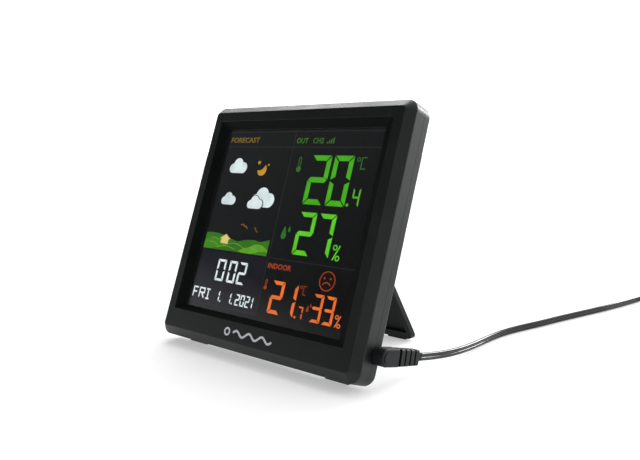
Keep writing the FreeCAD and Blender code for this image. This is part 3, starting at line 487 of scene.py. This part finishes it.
def percent(drawing, left, right, bottom, top, width):
    radius = 0.15 * (top - bottom)
    drawing.stroke([(left + 0.6 * radius, bottom), (right - 0.6 * radius, top)], width)
    drawing.ring(left + radius, top - radius, radius, width * 0.8, points=16)
    drawing.ring(right - radius, bottom + radius, radius, width * 0.8, points=16)


def thermometer(drawing, u, bottom, top, width):
    """An outlined tube over a filled bulb."""
    bulb = 0.2 * (top - bottom)
    drawing.disc(u, bottom + bulb, bulb, points=20)
    tube = 0.45 * bulb
    neck = bottom + 2.2 * bulb
    shoulder = top - tube
    drawing.stroke([(u - tube, neck), (u - tube, shoulder), (u, top), (u + tube, shoulder), (u + tube, neck)],
                   width)


def droplet(drawing, u, v, size):
    """A drop with a pointed top, size across."""
    spots = []
    for step in range(20):
        turn = 2 * math.pi * step / 20
        lift = 0.9 * size * max(0.0, math.sin(turn)) ** 5
        spots.append((u + size / 2 * math.cos(turn), v + size / 2 * math.sin(turn) + lift))
    drawing.fill(spots)


def cloud_outline(left, bottom, width, grow=0.0):
    """A flat-based cloud of three round heaps, as one outline seen from its own middle."""
    heaps = ((0.2, 0.2, 0.2), (0.46, 0.36, 0.27), (0.77, 0.23, 0.23))
    middle = Vector((left + 0.48 * width, bottom + 0.2 * width))
    spots = []
    for step in range(56):
        turn = 2 * math.pi * (step + 0.5) / 56
        way = Vector((math.cos(turn), math.sin(turn)))
        reach = 0.0
        for x, y, radius in heaps:
            heart = Vector((left + x * width, bottom + y * width)) - middle
            along = heart.dot(way)
            inside = (radius * width + grow) ** 2 - (heart.length_squared - along ** 2)
            if inside > 0:
                reach = max(reach, along + math.sqrt(inside))
        if way.y < 0:
            base = (middle.y - bottom + grow) / -way.y
            within = abs(way.x * base) < 0.3 * width
            reach = base if within else min(reach, base)
        spots.append((middle + way * reach)[:])
    return spots


def crescent(u, v, radius, turned):
    """A moon: an outer arc and a flatter arc back."""
    spots = []
    for step in range(17):
        turn = turned + math.pi * (step / 16 - 0.5) * 1.25
        spots.append((u + radius * math.cos(turn), v + radius * math.sin(turn)))
    start, end = Vector(spots[-1]), Vector(spots[0])
    bow = 0.34 * radius * Vector((math.cos(turned), math.sin(turned)))
    for step in range(1, 12):
        share = step / 12
        spots.append((start.lerp(end, share) + bow * math.sin(math.pi * share))[:])
    return spots


def star(u, v, radius, points=5):
    spots = []
    for step in range(2 * points):
        turn = math.pi / 2 + math.pi * step / points
        reach = radius if step % 2 == 0 else 0.42 * radius
        spots.append((u + reach * math.cos(turn), v + reach * math.sin(turn)))
    return spots


# ---------------------------------------------------------------------------------------------
# The lit display
# ---------------------------------------------------------------------------------------------

# Depths in front of the LCD's own face, all behind the window
FIELD_BACK = -1.045
FIELD_FRONT = -1.035
MARK_BACK = -1.03
MARK_FRONT = -1.0

# The screen's opening and the lines that divide it
SCREEN_LEFT = -54.4
SCREEN_RIGHT = 54.4
SCREEN_TOP = 118.8
HEADER_LINE = 110.2
COLUMN_TOP = -3.4
COLUMN_BOTTOM = -2.0
INDOOR_LINE = 50.4
CLOCK_BOTTOM = 20.4

# The mark printed on the flat band below the screen
MARK_HEIGHT = 9.2
WAVE_LEFT = -10.2
WAVE_LENGTH = 27.5
WAVE_STEPS = 48

# The slopes round the screen, from the face down to the opening
RIDGE_HALF = 60.4
RIDGE_LOW = 14.6
RIDGE_HIGH = 124.1
RIDGE_OUT = 3.9
FOOT_HALF = 55.0
FOOT_LOW = 17.8
FOOT_HIGH = 119.9
FOOT_OUT = 0.8

GREEN = srgb(72, 178, 24)
GREEN_LOW = srgb(96, 208, 38)
GREEN_DIM = srgb(62, 114, 32)
GREEN_FAINT = srgb(50, 112, 40)
ORANGE = srgb(246, 118, 48)
ORANGE_DIM = srgb(172, 66, 28)
ORANGE_FAINT = srgb(140, 58, 30)
WHITE = srgb(238, 250, 250)
AMBER = srgb(198, 150, 42)
AMBER_DIM = srgb(128, 99, 32)
CLOUD = srgb(226, 240, 240)
HILL = srgb(52, 118, 24)
HILL_TONES = (srgb(66, 134, 26), srgb(92, 162, 36), srgb(50, 112, 22))
HILL_CROWN = srgb(128, 190, 56)
HILL_LEFT = -54.2
HILL_RIGHT = -4.2
HILL_BASE = 51.0
HILL_STEP = 0.003
HOUSE = srgb(226, 206, 120)
RULE = srgb(44, 46, 46)
NIGHT = srgb(20, 20, 31)


def mark():
    return Drawing(MARK_BACK, MARK_FRONT)


def show(drawing, name, colour, strength=1.0):
    drawing.done(name, "root", "display", lit(name, colour, strength))


def display_rules():
    rules = mark()
    rules.stroke([(SCREEN_LEFT, SCREEN_TOP), (SCREEN_RIGHT, SCREEN_TOP)], 0.3)
    rules.stroke([(SCREEN_LEFT, HEADER_LINE), (COLUMN_TOP - 0.4, HEADER_LINE)], 0.35)
    rules.stroke([(COLUMN_TOP + 0.4, HEADER_LINE), (SCREEN_RIGHT, HEADER_LINE)], 0.35)
    rules.stroke([(COLUMN_TOP, SCREEN_TOP - 0.6), (COLUMN_BOTTOM, CLOCK_BOTTOM)], 0.4)
    rules.stroke([(COLUMN_BOTTOM + 0.4, INDOOR_LINE), (SCREEN_RIGHT, INDOOR_LINE)], 0.35)
    rules.stroke([(SCREEN_LEFT, CLOCK_BOTTOM), (COLUMN_BOTTOM - 0.6, CLOCK_BOTTOM)], 0.35)
    show(rules, "display_rules", RULE)


def display_header():
    words = mark()
    words.word("FORECAST", -52.9, -29.9, 112.6, 115.7)
    show(words, "display_forecast_word", AMBER_DIM)
    signals = mark()
    foot, top = 112.2, 115.2
    signals.word("OUT", -1.8, 6.3, foot, top)
    signals.word("CH2", 9.7, 17.0, foot, top)
    for step in range(4):
        left = 19.1 + 1.35 * step
        right = left + 0.75
        height = 113.1 + 0.75 * step
        signals.fill([(left, foot), (right, foot), (right, height), (left, height)])
    show(signals, "display_channel_words", GREEN_DIM)


def display_forecast():
    clouds = mark()
    clouds.fill(cloud_outline(-48.6, 94.8, 13.8))
    clouds.fill(cloud_outline(-49.0, 76.4, 11.4))
    clouds.fill(cloud_outline(-25.5, 76.4, 17.4))
    show(clouds, "display_clouds", CLOUD)
    shadow = Drawing(MARK_FRONT + 0.005, MARK_FRONT + 0.01)
    shadow.fill(cloud_outline(-27.9, 74.9, 12.2, grow=0.35))
    show(shadow, "display_cloud_edge", srgb(30, 34, 36))
    near = Drawing(MARK_FRONT + 0.015, MARK_FRONT + 0.03)
    near.fill(cloud_outline(-27.6, 75.3, 11.5))
    show(near, "display_near_cloud", srgb(236, 246, 246))
    night = mark()
    night.fill(crescent(-22.6, 97.2, 3.4, -math.pi / 3))
    night.fill(star(-25.8, 101.2, 1.5))
    night.fill(star(-18.3, 100.0, 0.9))
    show(night, "display_moon", AMBER)


def display_hills():
    far = mark()
    far.fill([(-54.2, 50.8), (-4.2, 50.8), (-4.2, 59.4), (-10.9, 57.7), (-15.3, 58.4), (-21.3, 58.0),
              (-27.7, 56.5), (-32.4, 57.3), (-38.5, 59.0), (-44.5, 59.9), (-49.5, 60.1), (-54.2, 59.6)])
    show(far, "display_far_hills", HILL)
    mounds = ((-47.0, 15.0, 57.4), (-11.5, 13.0, 56.3), (-30.0, 14.0, 55.4), (-49.0, 12.0, 54.9),
              (-17.0, 11.0, 54.2), (-36.0, 12.0, 53.4), (-8.0, 8.0, 53.2))
    for number, (middle, half, crest) in enumerate(mounds):
        depth = MARK_FRONT + HILL_STEP * (number + 1)
        slope = Drawing(depth - 0.6 * HILL_STEP, depth)
        ridge = []
        for step in range(17):
            u = min(HILL_RIGHT, max(HILL_LEFT, middle + half * (step / 8 - 1)))
            rise = math.cos((u - middle) / half * math.pi / 2) ** 1.4 if abs(u - middle) < half else 0.0
            if not ridge or u > ridge[-1][0] + 0.01:
                ridge.append((u, HILL_BASE + (crest - HILL_BASE) * rise + 0.02))
        slope.fill([(ridge[0][0], HILL_BASE - 0.2), (ridge[-1][0], HILL_BASE - 0.2)] + ridge[::-1])
        show(slope, f"display_hill_{number + 1}", HILL_TONES[number % len(HILL_TONES)])
        crown = Drawing(depth + 0.1 * HILL_STEP, depth + 0.3 * HILL_STEP)
        crown.stroke([(u, v - 0.15) for u, v in ridge[3:-3]], 0.3)
        show(crown, f"display_hill_crown_{number + 1}", HILL_CROWN, 0.8)
    house = Drawing(MARK_FRONT + 0.04, MARK_FRONT + 0.045)
    house.fill([(-41.2, 54.6), (-35.2, 54.4), (-35.2, 57.2), (-33.9, 57.2), (-38.0, 59.9), (-42.3, 57.2),
                (-41.2, 57.2)])
    show(house, "display_house", HOUSE)
    birds = mark()
    birds.stroke([(-28.4, 65.7), (-26.4, 66.3), (-25.4, 65.1), (-24.2, 65.4), (-22.8, 64.0)], 0.55)
    birds.stroke([(-17.9, 64.9), (-16.6, 64.8), (-16.2, 63.7), (-14.7, 62.6)], 0.5)
    show(birds, "display_birds", AMBER_DIM)


def display_clock():
    night = Drawing(FIELD_BACK, FIELD_FRONT)
    night.fill([(SCREEN_LEFT, CLOCK_BOTTOM + 0.3), (COLUMN_BOTTOM - 1.2, CLOCK_BOTTOM + 0.3),
                (COLUMN_BOTTOM - 1.2, 49.6), (SCREEN_LEFT, 49.6)])
    show(night, "display_clock_field", NIGHT)
    clock = mark()
    for figure, left, right in (("0", -38.8, -32.2), ("0", -29.4, -23.4), ("2", -21.8, -15.8)):
        digit(clock, figure, left, right, 33.9, 45.8, 1.3)
    low, high = 22.9, 28.9
    for name, left, right in (("F", -53.0, -49.6), ("R", -47.9, -44.1), ("I", -42.4, -39.6)):
        letter(clock, name, left, right, low + 0.4, high - 0.4, 0.85)
    for left in (-33.4, -24.3):
        digit(clock, "1", left, left + 1.9, low, high, 0.85)
        clock.disc(left + 3.0, low + 0.45, 0.5, points=14)
    for figure, left in (("2", -19.0), ("0", -15.2), ("2", -11.4), ("1", -8.9)):
        digit(clock, figure, left, left + 3.1, low, high, 0.8)
    show(clock, "display_clock", WHITE)


def display_outdoor():
    top = mark()
    digit(top, "2", 12.0, 25.0, 79.9, 105.8, 2.8)
    digit(top, "0", 26.9, 39.3, 79.9, 105.8, 2.8)
    show(top, "display_outdoor_degrees", GREEN)
    small = mark()
    digit(small, "4", 43.0, 47.5, 80.3, 89.6, 0.95)
    small.disc(40.9, 81.0, 0.85)
    show(small, "display_outdoor_small", srgb(92, 176, 48))
    signs = mark()
    degrees(signs, 41.2, 46.9, 99.2, 104.9, 0.5)
    thermometer(signs, 3.9, 96.6, 104.7, 0.45)
    droplet(signs, 4.4, 62.6, 3.6)
    droplet(signs, 7.6, 65.6, 1.7)
    show(signs, "display_outdoor_signs", GREEN_FAINT)
    humid = mark()
    digit(humid, "2", 12.7, 23.9, 53.8, 75.8, 2.4)
    digit(humid, "7", 25.6, 36.5, 53.8, 75.8, 2.4)
    percent(humid, 38.6, 43.2, 53.6, 60.9, 0.75)
    show(humid, "display_outdoor_humidity", GREEN_LOW)


def display_indoor():
    word = mark()
    word.word("INDOOR", -1.2, 15.0, 45.1, 47.9)
    word.ring(39.4, 43.3, 4.6, 0.5)
    for left in (37.4, 41.2):
        word.disc(left, 44.6, 0.55, points=14)
    word.stroke([(36.9, 41.3), (37.9, 42.3), (39.3, 42.7), (40.7, 42.3), (41.8, 41.3)], 0.5)
    thermometer(word, 0.3, 34.0, 39.4, 0.4)
    show(word, "display_indoor_word", ORANGE_DIM)
    warm = mark()
    digit(warm, "2", 5.2, 13.6, 22.8, 39.4, 1.9)
    digit(warm, "1", 14.6, 22.7, 22.8, 39.4, 1.9)
    warm.disc(24.2, 23.6, 0.6)
    digit(warm, "7", 25.3, 28.6, 22.9, 29.1, 0.7)
    digit(warm, "3", 33.6, 40.0, 22.9, 36.5, 1.5)
    digit(warm, "3", 41.2, 47.5, 22.9, 36.5, 1.5)
    percent(warm, 49.0, 52.5, 22.9, 28.5, 0.6)
    show(warm, "display_indoor_values", ORANGE)
    signs = mark()
    degrees(signs, 23.9, 27.9, 34.9, 39.1, 0.45)
    droplet(signs, 31.2, 28.0, 1.7)
    droplet(signs, 32.8, 30.2, 1.0)
    show(signs, "display_indoor_signs", ORANGE_FAINT)


def painted_recess_shade():
    """Painted shade: a thin dark matte skin over the four slopes that lead down to the screen, darkening the
    recess round it.
    """
    shade_skin = Drawing(0.0, 0.0)
    rings = []
    for side, from_top in ((-1, False), (1, False), (1, True), (-1, True)):
        ring = []
        for share, lift in ((0.02, 0.02), (0.98, 0.02), (0.98, 0.06), (0.02, 0.06)):
            half = RIDGE_HALF + (FOOT_HALF - RIDGE_HALF) * share - lift
            low = RIDGE_LOW + (FOOT_LOW - RIDGE_LOW) * share + lift
            high = RIDGE_HIGH + (FOOT_HIGH - RIDGE_HIGH) * share - lift
            out = RIDGE_OUT + (FOOT_OUT - RIDGE_OUT) * share
            ring.append(shade_skin.mesh.verts.new((side * half, high if from_top else low, out)))
        rings.append(ring)
    for here, there in zip(rings, rings[1:] + rings[:1]):
        for spot in range(4):
            after = (spot + 1) % 4
            shade_skin.mesh.faces.new((here[spot], here[after], there[after], there[spot]))
    # The skin's near-black tone is painted shade for the recess, darker than the case's own black.
    black = moulded("painted_recess_shade", srgb(8, 10, 10), 0.6, grain=0.3, depth=0.02, shine=0.06)
    shade_skin.done("painted_recess_shade", "root", "case_black", black)


def chin_mark():
    """A plain mark printed under the screen: a ring and a wave, with no lettering."""
    ink = Drawing(RIDGE_OUT, RIDGE_OUT + 0.03)
    ink.ring(-14.6, MARK_HEIGHT, 1.7, 1.0)
    wave = []
    for step in range(WAVE_STEPS + 1):
        share = step / WAVE_STEPS
        swing = 1.3 * math.sin(share * 3 * 2 * math.pi)
        wave.append((WAVE_LEFT + WAVE_LENGTH * share, MARK_HEIGHT + swing))
    ink.stroke(wave, 1.1)
    ink.done("chin_mark", "root", "case_black", printed("chin_mark", srgb(214, 220, 224)))


# The column of keys on the back, seen from behind
KEY_MIDDLE = 46.0
KEY_LOW = 62.0
KEY_PITCH = 9.4
BACK_DEPTH = 20.0
LEGEND_GAP = 6.3


def key_legends():
    """Printed words and signs beside the keys, read from behind."""
    lowest = Matrix.Translation((-KEY_MIDDLE, KEY_LOW, BACK_DEPTH))
    behind = CASE @ Matrix.Rotation(math.pi, 4, "Y") @ lowest
    ink = Drawing(-0.02, 0.03)
    for number, text in enumerate(("LIGHT", "ALARM", "CH", "-", "+", "SET")):
        height = KEY_PITCH * number
        if text == "-" or text == "+":
            ink.stroke([(LEGEND_GAP, height), (LEGEND_GAP + 2.0, height)], 0.4)
            if text == "+":
                ink.stroke([(LEGEND_GAP + 1.0, height - 1.0), (LEGEND_GAP + 1.0, height - 0.2)], 0.4)
                ink.stroke([(LEGEND_GAP + 1.0, height + 0.2), (LEGEND_GAP + 1.0, height + 1.0)], 0.4)
        else:
            ink.word(text, LEGEND_GAP, LEGEND_GAP + 1.45 * len(text), height - 0.9, height + 0.9)
    ink.done("key_legends", "root", "case_black", printed("key_legends", srgb(150, 154, 156)), behind)


display_rules()
display_header()
display_forecast()
display_hills()
display_clock()
display_outdoor()
display_indoor()
painted_recess_shade()
chin_mark()
key_legends()


# ---------------------------------------------------------------------------------------------
# The lead: a flat twin that runs from the low-voltage plug to the coil and on to the adapter
# ---------------------------------------------------------------------------------------------

# The lead's section, and its route in millimetres
LEAD_WIDTH = 4.1
CORE_RADIUS = 1.06
CORE_OFFSET = LEAD_WIDTH / 2 - CORE_RADIUS
LEAD_EXIT = (73.325, -5.463, 9.528)
LEAD_ROUTE = [
    LEAD_EXIT, (73.35, 9.76, 6.5), (74.2, 27.76, 4.3), (73.2, 47.76, 2.7), (71.7, 66.76, 2.05),
    (72.0, 85.76, 2.05), (74.9, 102.76, 2.05), (79.4, 119.76, 2.05), (83.6, 140.76, 2.05),
    (89.6, 165.76, 2.05), (96.4, 194.76, 2.05), (101.2, 220.76, 2.05), (104.6, 244.76, 2.2),
]
LEAD_TAIL = [(154.1, 260.26, 7.1), (154.0, 253.26, 8.9), (153.8, 246.76, 10.6)]

COIL_CENTRE = (129.5, 266.76)
COIL_OUTER = 24.6
COIL_INNER = 15.7
COIL_LOW = 2.8
COIL_HIGH = 6.9
COIL_TURNS = 4.5
STEPS_PER_TURN = 16


def coil_points():
    """The coil: inward along the bottom, up over half a turn, and outward on top."""
    layer = round(COIL_TURNS * STEPS_PER_TURN)
    climb = STEPS_PER_TURN // 2
    points = []
    for step in range(2 * layer + climb + 1):
        turn = math.pi - 2 * math.pi * step / STEPS_PER_TURN
        inward = min(1.0, step / layer)
        outward = max(0.0, (step - layer - climb) / layer)
        radius = COIL_OUTER + (COIL_INNER - COIL_OUTER) * (inward - outward)
        raised = min(1.0, max(0.0, (step - layer) / climb))
        height = COIL_LOW + (COIL_HIGH - COIL_LOW) * (3 - 2 * raised) * raised ** 2
        across, along = COIL_CENTRE
        points.append((across + radius * math.cos(turn), along + radius * math.sin(turn), height))
    return points


def smooth_route(points):
    """Points along the lead's own NURBS line, in metres."""
    curve = bpy.data.curves.new("lead_line", "CURVE")
    curve.dimensions = "3D"
    spline = curve.splines.new("NURBS")
    spline.points.add(len(points) - 1)
    for control, point in zip(spline.points, points):
        control.co = (*(MM * value for value in point), 1.0)
    spline.order_u = 3
    spline.use_endpoint_u = True
    spline.resolution_u = 6
    holder = bpy.data.objects.new("lead_line", curve)
    line = bpy.data.meshes.new_from_object(holder)
    path = [vertex.co.copy() for vertex in line.vertices]
    bpy.data.objects.remove(holder)
    bpy.data.curves.remove(curve)
    bpy.data.meshes.remove(line)
    return path


def twin_section():
    """Two round cores joined by a thin web, one above the other."""
    spots = []
    for core, start in ((CORE_OFFSET, -66), (-CORE_OFFSET, 114)):
        for step in range(13):
            turn = math.radians(start + 26 * step)
            spots.append((CORE_RADIUS * math.cos(turn), core + CORE_RADIUS * math.sin(turn)))
    return spots


def lead():
    path = smooth_route(LEAD_ROUTE + coil_points() + LEAD_TAIL)
    section = twin_section()
    mesh = bmesh.new()
    rings = []
    for index, point in enumerate(path):
        along = (path[min(index + 1, len(path) - 1)] - path[max(index - 1, 0)]).normalized()
        aside = along.cross(Vector((0, 0, 1))).normalized()
        upward = aside.cross(along)
        rings.append([mesh.verts.new(point + MM * (aside * x + upward * y)) for x, y in section])
    for here, there in zip(rings, rings[1:]):
        for spot in range(len(section)):
            after = (spot + 1) % len(section)
            mesh.faces.new((here[spot], here[after], there[after], there[spot]))
    mesh.faces.new(rings[0])
    mesh.faces.new(reversed(rings[-1]))
    bmesh.ops.recalc_face_normals(mesh, faces=mesh.faces)
    tube = bpy.data.meshes.new("lead")
    mesh.to_mesh(tube)
    mesh.free()
    tube.materials.append(FINISHES["lead_black"])
    tube.polygons.foreach_set("use_smooth", [True] * len(tube.polygons))
    piece = bpy.data.objects.new("lead", tube)
    bpy.context.scene.collection.objects.link(piece)
    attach(piece, "root")
    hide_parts("cord_tube", "cord_tail", "cord_coil")


lead()


# ---------------------------------------------------------------------------------------------
# Floor, light and camera
# ---------------------------------------------------------------------------------------------

FLOOR_RADIUS = 7.0
FLOOR_DROP = 0.0002
FLOOR_GLOW = 0.42

# The room's brightness from its dim side, 0, to its bright side, 1, and the band low down all round
BRIGHT_SIDE = (0.35, 0.94, 0.0)
ROOM_TONES = ((0.02, 0.015), (0.2, 0.09), (0.43, 0.2), (0.53, 0.78), (0.62, 1.0))
ROOM_STRENGTH = 1.85
LOW_TONE = 0.4
LOW_BAND = (0.12, 0.3)

LIGHT_DISTANCE = 1.8
LENS = 39.375
CAMERA_PLACE = (0.2511, -0.2781, 0.1095)
CAMERA_AIM = (-0.65245, 0.74811, -0.12099)


def floor():
    """A wide pale floor."""
    disc = bmesh.new()
    bmesh.ops.create_circle(disc, cap_ends=True, segments=96, radius=FLOOR_RADIUS)
    mesh = bpy.data.meshes.new("floor")
    disc.to_mesh(mesh)
    disc.free()
    finish = Finish("floor")
    pale, paler = (0.64, 0.64, 0.64, 1), (0.66, 0.66, 0.66, 1)
    finish.feed("Base Color", finish.ramp(finish.noise(60), (0.3, pale), (0.7, paler)))
    finish.fix(Roughness=0.9, Specular_IOR_Level=0.0)
    finish.fix(Emission_Color=(1, 1, 1, 1), Emission_Strength=FLOOR_GLOW)
    mesh.materials.append(finish.material)
    piece = bpy.data.objects.new("floor", mesh)
    piece.location.z = cad_low.z - FLOOR_DROP
    bpy.context.scene.collection.objects.link(piece)


def surroundings():
    """A white room that is bright behind the object and dim in front of it."""
    world = bpy.data.worlds.new("room")
    bpy.context.scene.world = world
    world.use_nodes = True
    nodes, links = world.node_tree.nodes, world.node_tree.links
    towards = nodes.new("ShaderNodeVectorMath")
    towards.operation = "DOT_PRODUCT"
    links.new(nodes.new("ShaderNodeTexCoord").outputs["Generated"], towards.inputs[0])
    towards.inputs[1].default_value = Vector(BRIGHT_SIDE).normalized()
    share = nodes.new("ShaderNodeMapRange")
    share.inputs["From Min"].default_value = -1.0
    links.new(towards.outputs["Value"], share.inputs["Value"])
    ramp = nodes.new("ShaderNodeValToRGB")
    elements = ramp.color_ramp.elements
    while len(elements) < len(ROOM_TONES):
        elements.new(0.5)
    for element, (position, tone) in zip(elements, ROOM_TONES):
        element.position = position
        element.color = (tone, tone, tone, 1)
    links.new(share.outputs["Result"], ramp.inputs["Fac"])
    height = nodes.new("ShaderNodeSeparateXYZ")
    links.new(nodes["Texture Coordinate"].outputs["Generated"], height.inputs["Vector"])
    skirt = nodes.new("ShaderNodeMapRange")
    skirt.inputs["From Min"].default_value = LOW_BAND[0]
    skirt.inputs["From Max"].default_value = LOW_BAND[1]
    skirt.inputs["To Min"].default_value = LOW_TONE
    skirt.inputs["To Max"].default_value = 0.0
    links.new(height.outputs["Z"], skirt.inputs["Value"])
    brighter = nodes.new("ShaderNodeMath")
    brighter.operation = "MAXIMUM"
    links.new(ramp.outputs["Color"], brighter.inputs[0])
    links.new(skirt.outputs["Result"], brighter.inputs[1])
    background = nodes["Background"]
    links.new(brighter.outputs["Value"], background.inputs["Color"])
    background.inputs["Strength"].default_value = ROOM_STRENGTH


def softbox(name, towards, side, radiance):
    """A square light, with its brightness given as it looks in a reflection."""
    light = bpy.data.lights.new(name, "AREA")
    light.shape = "SQUARE"
    light.size = side
    light.energy = radiance * math.pi * side ** 2
    lamp = bpy.data.objects.new(name, light)
    direction = Vector(towards).normalized()
    lamp.location = (cad_low + cad_high) / 2 + LIGHT_DISTANCE * direction
    lamp.rotation_mode = "QUATERNION"
    lamp.rotation_quaternion = direction.to_track_quat("Z", "Y")
    bpy.context.scene.collection.objects.link(lamp)


def camera():
    data = bpy.data.cameras.new("camera")
    data.lens = LENS
    data.sensor_width = 36.0
    data.clip_start = 0.01
    piece = bpy.data.objects.new("camera", data)
    forward = Vector(CAMERA_AIM).normalized()
    right = forward.cross(Vector((0, 0, 1))).normalized()
    upward = right.cross(forward)
    turned = Matrix((right, upward, -forward)).transposed().to_4x4()
    piece.matrix_world = Matrix.Translation(CAMERA_PLACE) @ turned
    bpy.context.scene.collection.objects.link(piece)
    bpy.context.scene.camera = piece


floor()
surroundings()
softbox("overhead", (-0.55, 0.42, 0.75), side=0.95, radiance=4.2)
softbox("behind", (0.18, 0.9, 0.36), side=0.5, radiance=22.0)
camera()
bpy.context.scene.view_settings.view_transform = "Standard"
